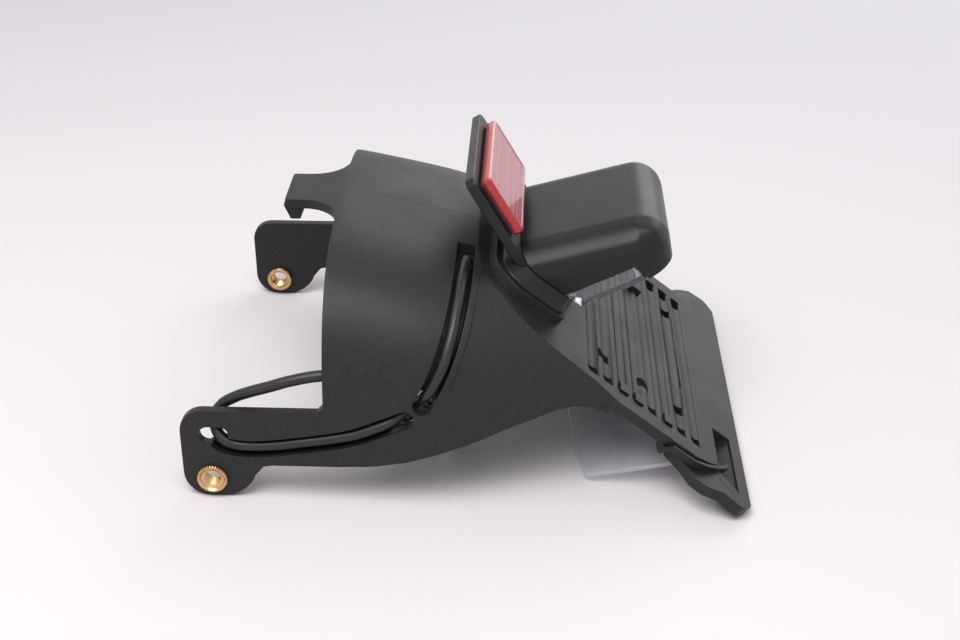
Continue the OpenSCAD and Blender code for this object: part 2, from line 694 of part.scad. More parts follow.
// Circuit board over the lens, on two bosses in the hood
board_lift = lens_h + 2.5;
board_screw_d = 2.5;
boss_x = 14;
boss_y = 24;
led_run = 34;
led_h = 1.4;
board_head_h = 1.6;
board = [20, 62];
module led_board() color("#2f6b3c") at_rest() on_underside() difference() {
    translate([boss_x - board.x / 2, -board.y / 2, board_lift]) cube([board.x, board.y, board_t]);
    for (y = [-boss_y, boss_y]) translate([boss_x, y, board_lift - past]) cylinder(d = board_screw_d + 0.3, h = board_t + 2 * past);
}
module leds() color("#f2ecc4") at_rest() on_underside() {
    for (i = [0:led_count - 1])
        translate([boss_x, (i - (led_count - 1) / 2) * led_run / (led_count - 1), board_lift - led_h])
            linear_extrude(height = led_h) square([3.5, 2.8], center = true);
}
module board_screws() color("#b9bcc0") at_rest() on_underside() {
    for (y = [-boss_y, boss_y]) translate([boss_x, y, board_lift - board_head_h]) {
        cylinder(d = 4.6, h = board_head_h);
        cylinder(d = board_screw_d, h = 5);
    }
}

// Two screws hold the lamp to the carrier from inside the arch
module lamp_screws() color("#b9bcc0") at_rest() on_plate() {
    for (p = screw_places) translate([p.x, p.y, 0]) {
        translate([0, 0, -panel_t - 1]) cylinder(d = 9, h = 1);
        difference() {
            translate([0, 0, -panel_t - 1 - 2.6]) cylinder(d = 7.4, h = 2.6);
            translate([0, 0, -panel_t - 4.6]) cylinder(d = 3.2, h = 2.4, $fn = 6);
        }
        translate([0, 0, -panel_t - 1]) cylinder(d = lamp_screw_d, h = panel_t + seam - 1.5);
    }
}

// Grommet in the carrier where the lead leaves the lamp
module lead_grommet() color("#1b1b1b") at_rest() on_plate() translate([cable_hole.x, cable_hole.y, 0]) difference() {
    union() {
        translate([0, 0, -panel_t]) cylinder(d = cable_hole_d, h = panel_t + seat_h);
        translate([0, 0, -panel_t - 1.5]) cylinder(d = cable_hole_d + 3, h = 1.5);
    }
    translate([0, 0, -panel_t - 3]) cylinder(d = lead_d + 2 * fit, h = panel_t + seat_h + 4);
}

// Clear flap: a sheet that folds back under the panel
flap_rise = 11;
fold_s = 115;
fold = plate_point(fold_s, 0, -panel_t - flap_t);
module flap_side() {
    leg_top = plate_point(99, 0, -panel_t);
    leg_low = plate_point(99, 0, -panel_t - flap_t);
    fold_top = plate_point(fold_s + 4, 0, -panel_t);
    away = [-cos(flap_rise), -sin(flap_rise)] * flap_reach;
    down = [sin(flap_rise), -cos(flap_rise)] * flap_t;
    polygon([
        [leg_low.x, leg_low.z], [leg_top.x, leg_top.z], [fold_top.x, fold_top.z],
        [fold.x, fold.z] + down, [fold.x, fold.z] + away + down, [fold.x, fold.z] + away, [fold.x, fold.z]
    ]);
}
module spray_flap() color("#d9dcdf", 0.45) at_rest() {
    intersection() {
        side_view(flap_half_w) flap_side();
        translate([0, 0, -30]) linear_extrude(height = 90) polygon(rounded([
            [fold.x - flap_reach * cos(flap_rise), -flap_half_w, 9], [fold.x - flap_reach * cos(flap_rise), flap_half_w, 9],
            [fold.x + 9, flap_half_w, 0], [fold.x + 9, -flap_half_w, 0]
        ]));
    }
}

// Lead: a plain tube along its route, then a round coil, then the connector beside it
module lead() color("#18181a") tube(route, lead_d / 2, 8);
module lead_coil() color("#18181a")
    translate([COIL_CENTRE.x, COIL_CENTRE.y, 0]) rotate_extrude()
        translate([coil_r - lead_d / 2, 0]) square([coil_turns * lead_d, lead_d]);
module connector_housing() color("#1d1d20") translate([CONNECTOR_AT.x, CONNECTOR_AT.y, 0]) difference() {
    translate([-connector.x / 2, -connector.y / 2, 0]) cube(connector);
    translate([-connector.x / 2 - past, connector_wall - connector.y / 2, connector_wall])
            cube([mouth_deep + past, connector.y - 2 * connector_wall, connector.z - 2 * connector_wall]);
}
module connector_pins() color("#c9b26a") translate([CONNECTOR_AT.x, CONNECTOR_AT.y, connector.z / 2]) {
    for (y = [-2.2, 2.2]) translate([3 - connector.x / 2, y, 0]) rotate([0, 90, 0]) cylinder(d = 1.5, h = mouth_deep - 3);
}

carrier();
left_insert();
right_insert();
lamp_base();
lamp_gasket();
lamp_hood();
lamp_lens();
led_board();
leds();
board_screws();
lamp_screws();
reflector_bracket();
reflector_pad();
reflector_back();
reflector_lens();
spray_flap();
lead_grommet();
lead();
lead_coil();
connector_housing();
connector_pins();
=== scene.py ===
import math

import bpy
from mathutils import Matrix, Vector


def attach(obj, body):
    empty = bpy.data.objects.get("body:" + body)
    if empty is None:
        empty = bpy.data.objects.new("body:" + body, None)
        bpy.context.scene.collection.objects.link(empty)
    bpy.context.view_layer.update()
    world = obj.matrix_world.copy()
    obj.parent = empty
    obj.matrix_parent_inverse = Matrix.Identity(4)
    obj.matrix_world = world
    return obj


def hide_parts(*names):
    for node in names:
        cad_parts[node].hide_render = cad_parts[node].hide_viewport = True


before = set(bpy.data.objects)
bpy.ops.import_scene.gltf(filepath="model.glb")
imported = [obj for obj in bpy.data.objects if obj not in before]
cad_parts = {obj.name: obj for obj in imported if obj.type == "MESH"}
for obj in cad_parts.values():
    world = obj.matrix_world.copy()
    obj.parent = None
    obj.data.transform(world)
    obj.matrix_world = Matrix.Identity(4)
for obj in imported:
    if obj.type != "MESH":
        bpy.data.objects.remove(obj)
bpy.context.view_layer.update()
scene = bpy.context.scene

# ---------------------------------------------------------------- places
# Sizes are in mm in the ears' own frame: x = 0 on the insert axis, z = 0 at the ears' lowest point.
# REST tilts the part onto its ears and wing tips and turns mm to metres.
REST = (
    Matrix.Scale(0.001, 4)
    @ Matrix.Translation((-100.602, 0, 0.0499))
    @ Matrix.Rotation(math.radians(-2.35625), 4, "Y")
)
PLATE_X, PLATE_Z, SLOPE = 102.0, 81.956, 37.8
PLATE = Matrix.Translation((PLATE_X, 0, PLATE_Z)) @ Matrix.Rotation(math.radians(SLOPE), 4, "Y")


def plate_point(s, y, off):
    return PLATE @ Vector((s, y, off))


def side_view(half):
    """Puts an outline of the side view across the part, from y = half to -half."""
    return Matrix.Translation((0, half, 0)) @ Matrix.Rotation(math.radians(90), 4, "X")


# ---------------------------------------------------------------- camera
def make_camera():
    data = bpy.data.cameras.new("camera")
    data.lens, data.sensor_width = 56.51, 36
    data.clip_start, data.clip_end = 0.01, 50
    cam = bpy.data.objects.new("camera", data)
    scene.collection.objects.link(cam)
    right, up, back = (0.99840, 0.0389, 0.04108), (-0.05476, 0.4838, 0.87349), (0.01406, -0.8743, 0.48519)
    turn = Matrix((right, up, back)).transposed().to_4x4()
    cam.matrix_world = Matrix.Translation((0.00947, -0.57473, 0.35636)) @ turn
    scene.camera = cam


make_camera()


# ---------------------------------------------------------------- materials
def srgb(code):
    """A colour as written in sRGB hex, turned to linear."""
    parts = [int(code[i : i + 2], 16) / 255 for i in (1, 3, 5)]
    return [c / 12.92 if c <= 0.04045 else ((c + 0.055) / 1.055) ** 2.4 for c in parts] + [1.0]


def add(tree, kind, inputs=None, **settings):
    """Adds one node with its settings, its inputs' values and its links."""
    made = tree.nodes.new(kind)
    for name, value in settings.items():
        setattr(made, name, value)
    for name, value in (inputs or {}).items():
        if isinstance(value, bpy.types.NodeSocket):
            tree.links.new(value, made.inputs[name])
        else:
            made.inputs[name].default_value = value
    return made


def per_mm(size):
    """Scale of a pattern on Object coordinates whose features are that many mm wide."""
    return 1000.0 / size


def start(name, **values):
    """A new material, its tree, its shader and its Object coordinates."""
    mat = bpy.data.materials.new(name)
    mat.use_nodes = True
    tree = mat.node_tree
    shader = tree.nodes["Principled BSDF"]
    for key, value in values.items():
        shader.inputs[key].default_value = value
    place = add(tree, "ShaderNodeTexCoord").outputs["Object"]
    return mat, tree, shader, place


def spread(tree, value, low, high, start_at=0.0, end_at=1.0):
    """Maps a pattern's value to a range."""
    return add(
        tree, "ShaderNodeMapRange",
        {"Value": value, "From Min": start_at, "From Max": end_at, "To Min": low, "To Max": high},
    ).outputs["Result"]


def noise(tree, place, size, detail=2.0, roughness=0.5):
    return add(
        tree, "ShaderNodeTexNoise",
        {"Vector": place, "Scale": per_mm(size), "Detail": detail, "Roughness": roughness},
    ).outputs["Fac"]


def tint(tree, value, low, high):
    """Two colours mixed by a pattern's value."""
    mix = add(tree, "ShaderNodeMix", {"Factor": value}, data_type="RGBA")
    mix.inputs[6].default_value, mix.inputs[7].default_value = srgb(low), srgb(high)
    return mix.outputs[2]


def relief(tree, shader, heights):
    """Bump from (value, height in mm, strength) entries, the finest last."""
    normal = None
    for value, height, strength in heights:
        inputs = {"Height": value, "Distance": height / 1000.0, "Strength": strength}
        if normal is not None:
            inputs["Normal"] = normal
        normal = add(tree, "ShaderNodeBump", inputs).outputs["Normal"]
    tree.links.new(normal, shader.inputs["Normal"])


def moulded_plastic(name, dark, light, rough, grain, seam=False):
    """Injection-moulded black plastic with an eroded grain: soft broad highlights, slightly mottled."""
    mat, tree, shader, place = start(name, IOR=1.46, **{"Specular IOR Level": 0.38})
    cloud = noise(tree, place, 22, 3)
    fine = noise(tree, place, grain, 2, 0.6)
    tree.links.new(tint(tree, spread(tree, fine, 0, 1, 0.3, 0.7), dark, light), shader.inputs["Base Color"])
    tree.links.new(spread(tree, cloud, rough - 0.03, rough + 0.05, 0.3, 0.7), shader.inputs["Roughness"])
    heights = [(cloud, 0.12, 0.25), (fine, 0.09, 0.8)]
    if seam:
        # the parting line of the mould runs along the crown, in the mid-plane
        y = add(tree, "ShaderNodeSeparateXYZ", {"Vector": place}).outputs["Y"]
        away = add(tree, "ShaderNodeMath", {0: y}, operation="ABSOLUTE").outputs[0]
        x = add(tree, "ShaderNodeSeparateXYZ", {"Vector": place}).outputs["X"]
        away = add(tree, "ShaderNodeMath", {0: away, 1: x}, operation="MAXIMUM").outputs[0]
        heights.insert(0, (spread(tree, away, 0, 1, 0.0001, 0.0004), 0.35, 1.0))
    relief(tree, shader, heights)
    return mat


def brass():
    """Turned brass: warm metal with fine rings from the lathe and a little tarnish."""
    mat, tree, shader, place = start("turned brass", Metallic=1.0)
    cloud = noise(tree, place, 3, 3)
    rings = add(
        tree, "ShaderNodeTexWave",
        {"Vector": place, "Scale": per_mm(2.0), "Distortion": 1.5, "Detail": 2.0},
        wave_type="RINGS", rings_direction="Y",
    ).outputs["Fac"]
    tree.links.new(tint(tree, cloud, "#b98b52", "#ecd0a0"), shader.inputs["Base Color"])
    tree.links.new(spread(tree, cloud, 0.22, 0.38, 0.3, 0.7), shader.inputs["Roughness"])
    relief(tree, shader, [(rings, 0.02, 0.3)])
    return mat


def clear_plastic(name, colour, rough, haze, clear):
    """Clear plastic: sees through, with crisp reflections, and a faint haze where it isn't polished."""
    mat, tree, shader, place = start(name, IOR=1.49, **{"Transmission Weight": clear})
    shader.inputs["Base Color"].default_value = srgb(colour)
    cloud = noise(tree, place, 12, 3)
    tree.links.new(spread(tree, cloud, rough, rough + haze, 0.3, 0.7), shader.inputs["Roughness"])
    relief(tree, shader, [(cloud, 0.02, 0.03)])
    return mat


def hazy_sheet():
    """Flexible clear sheet: lets most of what lies behind it through, with a milky bloom and a soft shine."""
    mat, tree, shader, place = start("clear flexible sheet", IOR=1.49, Alpha=0.36)
    cloud = noise(tree, place, 30, 2)
    tree.links.new(tint(tree, spread(tree, cloud, 0, 1, 0.3, 0.7), "#c9cad1", "#e6e7ed"), shader.inputs["Base Color"])
    tree.links.new(spread(tree, cloud, 0.2, 0.35, 0.3, 0.7), shader.inputs["Roughness"])
    relief(tree, shader, [(cloud, 0.1, 0.2)])
    return mat


def red_reflector():
    """Red acrylic over small prisms: deep red cells under a glossy, even face."""
    mat, tree, shader, place = start("red reflector acrylic", IOR=1.49, Roughness=0.25, **{"Specular IOR Level": 0.3})
    shader.inputs["Coat Weight"].default_value = 1.0
    shader.inputs["Coat Roughness"].default_value = 0.04
    shader.inputs["Coat IOR"].default_value = 1.5
    cells = add(
        tree, "ShaderNodeTexVoronoi", {"Vector": place, "Scale": per_mm(2.2), "Randomness": 0.15},
        distance="MANHATTAN",
    )
    cells = cells.outputs["Distance"]
    tree.links.new(tint(tree, spread(tree, cells, 0, 1, 0.05, 0.7), "#ff1426", "#b00512"), shader.inputs["Base Color"])
    relief(tree, shader, [(cells, 0.5, 0.5)])
    return mat


def red_back():
    """Moulded red back shell of the reflector, duller than its face."""
    mat, tree, shader, place = start("red moulded back", IOR=1.49)
    cloud = noise(tree, place, 4, 3)
    tree.links.new(tint(tree, cloud, "#5d0a0f", "#8c1218"), shader.inputs["Base Color"])
    tree.links.new(spread(tree, cloud, 0.25, 0.4), shader.inputs["Roughness"])
    relief(tree, shader, [(cloud, 0.05, 0.3)])
    return mat


def foam():
    """Closed-cell foam tape: dull, with small open pores at its edge."""
    mat, tree, shader, place = start("foam tape", Roughness=0.95)
    cells = add(tree, "ShaderNodeTexVoronoi", {"Vector": place, "Scale": per_mm(0.6)}).outputs["Distance"]
    tree.links.new(tint(tree, cells, "#2b2a2c", "#4b4a4d"), shader.inputs["Base Color"])
    relief(tree, shader, [(cells, 0.2, 0.8)])
    return mat


def rubber():
    """Moulded rubber: dull black, even."""
    mat, tree, shader, place = start("moulded rubber", IOR=1.52)
    fine = noise(tree, place, 0.8, 3)
    tree.links.new(tint(tree, fine, "#121213", "#1e1e20"), shader.inputs["Base Color"])
    tree.links.new(spread(tree, fine, 0.6, 0.8), shader.inputs["Roughness"])
    relief(tree, shader, [(fine, 0.04, 0.4)])
    return mat


def jacket():
    """Extruded PVC jacket: black with a satin shine and faint marks along it."""
    mat, tree, shader, place = start("extruded cable jacket", IOR=1.5)
    cloud = noise(tree, place, 6, 4)
    tree.links.new(tint(tree, cloud, "#141416", "#212124"), shader.inputs["Base Color"])
    tree.links.new(spread(tree, cloud, 0.3, 0.45, 0.3, 0.7), shader.inputs["Roughness"])
    relief(tree, shader, [(noise(tree, place, 1.5, 2), 0.04, 0.3)])
    return mat


def zinc():
    """Zinc-plated steel: pale cool metal with a spangle."""
    mat, tree, shader, place = start("zinc-plated steel", Metallic=1.0)
    cloud = noise(tree, place, 1.2, 3)
    tree.links.new(tint(tree, cloud, "#9b9da0", "#c6c8cb"), shader.inputs["Base Color"])
    tree.links.new(spread(tree, cloud, 0.25, 0.4), shader.inputs["Roughness"])
    relief(tree, shader, [(cloud, 0.02, 0.3)])
    return mat


def board_lacquer():
    """Glass-epoxy board under green lacquer, with tracks showing through."""
    mat, tree, shader, place = start("lacquered circuit board", IOR=1.5, Roughness=0.3)
    tracks = add(
        tree, "ShaderNodeTexBrick", {"Vector": place, "Scale": per_mm(12), "Mortar Size": 0.03},
    ).outputs["Fac"]
    tree.links.new(tint(tree, tracks, "#1d5a30", "#3a8a4a"), shader.inputs["Base Color"])
    relief(tree, shader, [(tracks, 0.03, 0.5)])
    return mat


def led_cast():
    """Cast light source: pale yellow, softly glossy."""
    mat, tree, shader, place = start("cast light source", IOR=1.41, Roughness=0.25)
    cloud = noise(tree, place, 1, 2)
    tree.links.new(tint(tree, cloud, "#f0e6ae", "#fbf7df"), shader.inputs["Base Color"])
    relief(tree, shader, [(cloud, 0.02, 0.2)])
    return mat


def tinned_pin():
    """Drawn brass pin: bright warm metal, drawn along its length."""
    mat, tree, shader, place = start("drawn brass pin", Metallic=1.0)
    cloud = noise(tree, place, 0.8, 2)
    tree.links.new(tint(tree, cloud, "#c8a85a", "#e8d69a"), shader.inputs["Base Color"])
    tree.links.new(spread(tree, cloud, 0.2, 0.35), shader.inputs["Roughness"])
    relief(tree, shader, [(cloud, 0.01, 0.3)])
    return mat


CARRIER = moulded_plastic("moulded polypropylene, eroded grain", "#161414", "#292627", 0.45, 0.75, seam=True)
LAMP = moulded_plastic("moulded ABS, satin", "#0f0e0f", "#1b191a", 0.37, 0.6)
BRACKET = moulded_plastic("moulded ABS, smooth", "#141415", "#1a191b", 0.32, 0.9)
CONNECTOR = moulded_plastic("moulded nylon", "#151517", "#1f1f22", 0.5, 0.6)
BRASS, RUBBER, JACKET, ZINC, FOAM = brass(), rubber(), jacket(), zinc(), foam()
LENS = clear_plastic("clear polycarbonate lens", "#e9edf1", 0.04, 0.05, 0.94)
SHEET = hazy_sheet()
RED, RED_BACK = red_reflector(), red_back()
BOARD, LED, PIN = board_lacquer(), led_cast(), tinned_pin()


# ---------------------------------------------------------------- hand tools
def alone(*objects):
    """Selects only these objects; the last one is active."""
    bpy.ops.object.select_all(action="DESELECT")
    for o in objects:
        o.select_set(True)
        bpy.context.view_layer.objects.active = o


def edit(o, pick="SELECT"):
    alone(o)
    bpy.ops.object.mode_set(mode="EDIT")
    bpy.ops.mesh.select_mode(type="VERT")
    bpy.ops.mesh.select_all(action=pick)


def done():
    bpy.ops.object.mode_set(mode="OBJECT")


def outward(o):
    edit(o)
    bpy.ops.mesh.remove_doubles(threshold=0.001)
    bpy.ops.mesh.normals_make_consistent(inside=False)
    done()


def stack(name, rings, place=None):
    """A solid skinned over rings of as many points each: the first ring's face is extruded again and again, and each new ring is put in its place."""
    bpy.ops.mesh.primitive_circle_add(vertices=len(rings[0]), radius=1, fill_type="NGON")
    o = bpy.context.object
    o.name = o.data.name = name
    for v, p in zip(o.data.vertices, rings[0]):
        v.co = p
    for was, now in zip(rings, rings[1:]):
        edit(o, "DESELECT")
        done()
        old = [Vector(p) for p in was]
        for v in o.data.vertices:
            v.select = any((v.co - p).length < 1e-4 for p in old)
        for e in o.data.edges:
            e.select = all(o.data.vertices[i].select for i in e.vertices)
        for f in o.data.polygons:
            f.select = len(f.vertices) == len(was) and all(o.data.vertices[i].select for i in f.vertices)
        bpy.ops.object.mode_set(mode="EDIT")
        bpy.ops.mesh.select_mode(type="FACE")
        bpy.ops.mesh.extrude_region_move()
        done()
        for v in o.data.vertices:
            if v.select:
                near = min(range(len(old)), key=lambda i: (v.co - old[i]).length)
                v.co = now[near]
    outward(o)
    if place is not None:
        o.data.transform(place)
    return o


def prism(name, outline, low, high, place=None):
    """An outline in mm, extruded from low to high."""
    return stack(name, [[(p[0], p[1], z) for p in outline] for z in (low, high)], place)


def lathe(name, profile, steps, place):
    """A closed profile (radius, height) spun round the z axis."""
    bpy.ops.mesh.primitive_circle_add(vertices=len(profile), radius=1, fill_type="NOTHING")
    o = bpy.context.object
    o.name = o.data.name = name
    for v, p in zip(o.data.vertices, profile):
        v.co = (p[0], 0, p[1])
    edit(o)
    bpy.ops.mesh.spin(steps=steps, angle=math.tau, center=(0, 0, 0), axis=(0, 0, 1), use_auto_merge=True)
    done()
    outward(o)
    o.data.transform(place)
    return o


def apply(o, kind, **settings):
    m = o.modifiers.new(kind.title(), kind)
    for name, value in settings.items():
        setattr(m, name, value)
    alone(o)
    bpy.ops.object.modifier_apply(modifier=m.name)
    return o


def combine(how, o, *tools):
    for t in tools:
        apply(o, "BOOLEAN", operation=how, solver="EXACT", object=t)
        bpy.data.objects.remove(t, do_unlink=True)
    return o


def join(o, *tools):
    return combine("UNION", o, *tools)


def cut(o, *tools):
    return combine("DIFFERENCE", o, *tools)


def keep(o, *tools):
    return combine("INTERSECT", o, *tools)


def copy_of(o, place):
    """A second object with its own mesh, moved."""
    twin = o.copy()
    twin.data = o.data.copy()
    twin.data.transform(place)
    scene.collection.objects.link(twin)
    if place.determinant() < 0:
        outward(twin)
    return twin


FLIP = Matrix.Scale(-1, 4, (0, 1, 0))


def soften(o, width, angle=35, segments=2, smooth=40, even=True):
    """Rounds the edges that a mould or a file rounds, and shades the rest smoothly."""
    edit(o)
    bpy.ops.mesh.remove_doubles(threshold=0.02)
    bpy.ops.mesh.dissolve_limited(angle_limit=math.radians(0.05), delimit={"NORMAL"})
    done()
    if width > 0:
        apply(
            o, "BEVEL", width=width, segments=segments, limit_method="ANGLE", angle_limit=math.radians(angle),
            use_clamp_overlap=False, miter_outer="MITER_ARC" if even else "MITER_SHARP",
        )
    apply(o, "TRIANGULATE", min_vertices=5, ngon_method="CLIP")
    bpy.ops.object.shade_smooth_by_angle(angle=math.radians(smooth))
    return apply(o, "WEIGHTED_NORMAL", keep_sharp=True, weight=100 if even else 50)


def place_piece(o, mat, slot, *nodes, at_rest=True):
    """The finished piece: set at rest, given its material, and put in the frame for its CAD nodes."""
    if at_rest:
        o.data.transform(REST)
    o.data.materials.clear()
    o.data.materials.append(mat)
    if nodes:
        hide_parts(*nodes)
    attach(o, "root")
    return o


def dressed(node, mat, slot, width=0.0):
    """A merged copy of a CAD node with rounded edges, in mm until it is placed."""
    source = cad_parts[node]
    o = bpy.data.objects.new(node + "_piece", source.data.copy())
    scene.collection.objects.link(o)
    o.data.transform(Matrix.Scale(1000, 4))
    outward(o)
    soften(o, width)
    o.data.transform(Matrix.Scale(0.001, 4))
    return place_piece(o, mat, slot, node, at_rest=False)


def unit(v):
    return v / v.length


def rounded(corners, steps=6):
    """An outline with rounded corners, each corner given as (x, y, radius)."""
    out = []
    n = len(corners)
    for i, (x, y, r) in enumerate(corners):
        p = Vector((x, y))
        if r == 0:
            out.append(tuple(p))
            continue
        a = unit(Vector(corners[i - 1][:2]) - p)
        b = unit(Vector(corners[(i + 1) % n][:2]) - p)
        half = math.acos(max(-1, min(1, a.dot(b)))) / 2
        centre = p + unit(a + b) * r / math.sin(half)
        first = p + a * r / math.tan(half) - centre
        last = p + b * r / math.tan(half) - centre
        begin = math.atan2(first.y, first.x)
        sweep = (math.atan2(last.y, last.x) - begin + math.pi) % math.tau - math.pi
        for k in range(steps + 1):
            t = begin + sweep * k / steps
            out.append((centre.x + r * math.cos(t), centre.y + r * math.sin(t)))
    return out


def arc(centre, r, first, last, steps=8):
    turn = [math.radians(first + (last - first) * k / steps) for k in range(steps + 1)]
    return [(centre[0] + r * math.cos(t), centre[1] + r * math.sin(t)) for t in turn]


def mirrored(points):
    return list(points) + [(x, -y) for x, y in reversed(points)]


def full(corners):
    """A half outline with rounded corners and its mirror image."""
    half = [p for p in rounded(corners) if p[1] > 1e-6]
    return mirrored(half)


# ---------------------------------------------------------------- lead
# The route's points are the same as the solid lead's: out of the lamp, up through the crown, down
# the upper channel, behind the bridge, along the lower channel, in through the left ear and back
# behind it, and then loose on the ground inside the arch, where its rest is wound up.
LEAD_D = 4.6
LEAD_HELD = [
    (123, -14, 73.1), (118, -14, 66.7), (114.6, -14, 62.3), (111, -14.4, 59.3), (106.8, -15.4, 58.1),
    (102.7, -17, 59.2), (99.8, -19, 62.3), (98.5, -21.3, 66.5), (98.1, -24, 71), (98, -27.6, 75),
    (98, -32, 78.2), (98, -37.2, 79.8), (97.7, -43.5, 79.6), (97, -51, 78), (96.5, -58, 75.5),
    (95.5, -65, 72), (94.5, -71, 67.5), (93, -75.5, 62.5), (91.5, -78.6, 57.5), (89.7, -80.4, 53.5),
    (87.8, -81.4, 49.6), (85.6, -81.8, 46), (83.2, -80.8, 42.4), (80.4, -79.6, 39), (77.2, -80.1, 36.6),
    (73.6, -82.1, 34.9), (69.6, -84.1, 33.2), (64.5, -85, 31.3), (57.5, -85.2, 28.6), (48.5, -85.2, 26.5),
    (36.5, -85.2, 24.5), (24.5, -85.2, 22.7), (15, -85.2, 22.3), (9, -85.2, 23), (4.5, -84.6, 25.2),
    (1.8, -82.4, 28.8), (1.6, -79.8, 32.5), (4, -78.6, 36.6), (9, -78.4, 40), (15.5, -78.6, 42.8),
    (23, -78.8, 45.3), (32, -78.8, 48.3), (44, -77.8, 50.3), (55, -75.3, 49.3), (64, -71.5, 45),
]
LEAD_LOOSE = [
    (-28, -66, 39), (-20, -59, 28), (-15, -52.5, 17.5), (-12.5, -46, 9.5), (-11.9, -39.5, 4.5),
    (-11.9, -33.5, 2.5), (-11.9, -29.2, 2.4), (-11.9, -21, 2.4),
]
COIL = (-36.5, -12.0)
COIL_OUT, COIL_IN = 24.6, 20.0
TAIL = [
    (-12, -5, 7.05), (-12, 2, 5.7), (-13.2, 8.7, 4), (-16, 14.3, 3.6), (-20.3, 18.7, 4), (-25.5, 20.7, 4.5),
]


def ease(t):
    t = max(0.0, min(1.0, t))
    return t * t * (3 - 2 * t)


def coil_point(turn):
    """Two flat turns: the second lies inside the first and climbs over it to leave."""
    r = COIL_OUT + (COIL_IN - COIL_OUT) * (ease((turn - 280) / 80) - ease((turn - 672) / 48))
    z = 2.4 + 4.7 * ease((turn - 615) / 70)
    t = math.radians(turn)
    return (COIL[0] + r * math.cos(t), COIL[1] + r * math.sin(t), z)


def make_lead():
    points = [REST @ Vector(p) for p in LEAD_HELD]
    points += [Vector(p) / 1000 for p in LEAD_LOOSE]
    points += [Vector(coil_point(turn)) / 1000 for turn in range(0, 721, 24)]
    points += [Vector(p) / 1000 for p in TAIL]
    curve = bpy.data.curves.new("lead_cable", "CURVE")
    curve.dimensions = "3D"
    curve.bevel_depth = LEAD_D / 2000
    curve.bevel_resolution = 4
    curve.resolution_u = 5
    curve.use_fill_caps = True
    line = curve.splines.new("BEZIER")
    line.bezier_points.add(len(points) - 1)
    for b, p in zip(line.bezier_points, points):
        b.co = p
        b.handle_left_type = b.handle_right_type = "AUTO"
    o = bpy.data.objects.new("lead_cable", curve)
    scene.collection.objects.link(o)
    bpy.context.view_layer.update()
    fine = []
    for a, b in zip(line.bezier_points, line.bezier_points[1:]):
        for k in range(8):
            t = k / 8
            fine.append(
                (1 - t) ** 3 * a.co + 3 * (1 - t) ** 2 * t * a.handle_right
                + 3 * (1 - t) * t * t * b.handle_left + t ** 3 * b.co
            )
    fine.append(points[-1])
    long = sum((q - p).length for p, q in zip(fine, fine[1:]))
    print("lead length", round(long, 4))
    curve.materials.append(JACKET)
    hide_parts("lead", "lead_coil")
    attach(o, "root")
    return o


make_lead()

# ---------------------------------------------------------------- carrier
SHELL_HALF_W, PANEL_HALF_W, CROWN_H = 88.0, 71.5, 95.5
ARCH_FRONT, WALL, POWER = 45.0, 4.0, 3.5


def half_width(x):
    return SHELL_HALF_W - (SHELL_HALF_W - PANEL_HALF_W) * ease((x - 78) / 87)


def crown_height(x):
    u = max(0.0, x - ARCH_FRONT)
    return CROWN_H - 0.2 * u - 0.00066 * u * u


def shell_sheet(name, inset, thick, x_from=-16.0, x_to=182.0):
    """The arch's wall: a grid bent over squarish elliptical sections, then given its thickness inwards."""
    bpy.ops.mesh.primitive_grid_add(x_subdivisions=66, y_subdivisions=112, size=2)
    o = bpy.context.object
    o.name = name
    for v in o.data.vertices:
        x = x_from + (v.co.x + 1) / 2 * (x_to - x_from)
        turn = math.radians(-8 + (v.co.y + 1) / 2 * 196)
        a, b = half_width(x) - inset, crown_height(x) - inset
        if 0 <= turn <= math.pi:
            c, s = math.cos(turn), math.sin(turn)
            r = (abs(c / a) ** POWER + abs(s / b) ** POWER) ** (-1 / POWER)
            v.co = (x, r * c, r * s)
        else:
            side = 1 if turn < 1 else -1
            v.co = (x, side * a, -a * math.tan(min(abs(turn), abs(turn - math.pi))))
    top = max(o.data.polygons, key=lambda f: f.center.z)
    if top.normal.z < 0:
        edit(o)
        bpy.ops.mesh.flip_normals()
        done()
    return apply(o, "SOLIDIFY", thickness=thick, offset=-1, use_even_offset=True)


def plate_xz(s, off):
    p = plate_point(s, 0, off)
    return (p.x, p.z)


ARCH_LOW = [
    (45, 14.6), (50, 14.6), (64, 15.1), (76, 17.1), (92, 21.6), (105.5, 25.6), (115, 28.9), (128.6, 32.6),
    (136, 34.6), (142, 35.2), (149, 34), (155, 31.1),
]


def arch_side(half):
    outline = ARCH_LOW + [plate_xz(73, -5.5), plate_xz(73, 3), plate_xz(-60, 3), (45, plate_xz(-60, 3)[1])]
    return prism("arch_side", outline, 0, 2 * half, side_view(half))


def ear_side(half):
    outline = (
        arc((-1, 10.4), 10.4, 180, 270) + arc((3, 15), 15, 272, 340)
        + [(20.5, 14), (24, 14.6), (46, 14.6), (46, 41.1), (45, 41.1), (42.6, 38.7)]
        + arc((-2.4, 29.7), 9, 90, 180)
    )
    return prism("ear_side", outline, 0, 2 * half, side_view(half))


def tongue_top():
    half = [(22.5, 12), (22.9, 13.1), (24, 13.5)] + arc((30, 28.5), 15, 270, 360) + [(46, 28.5)]
    return prism("tongue_top", mirrored(half), 75.5, 99.5)


def hook():
    low = CROWN_H - WALL - 5
    outline = [(22.5, 94.5), (21.9, 92.5), (24.5, low), (28.5, low), (30.5, 91.5), (30.5, 94.5)]
    return prism("hook", outline, 0, 26, side_view(13))


WING = [
    (141.5, 1, 0), (141.5, 81, 3), (136.5, 87, 5), (120.5, 84, 8), (112, 75.5, 8), (103, 71.5, 1), (103, 66, 0),
    (122, 66, 0), (124, 1, 0),
]


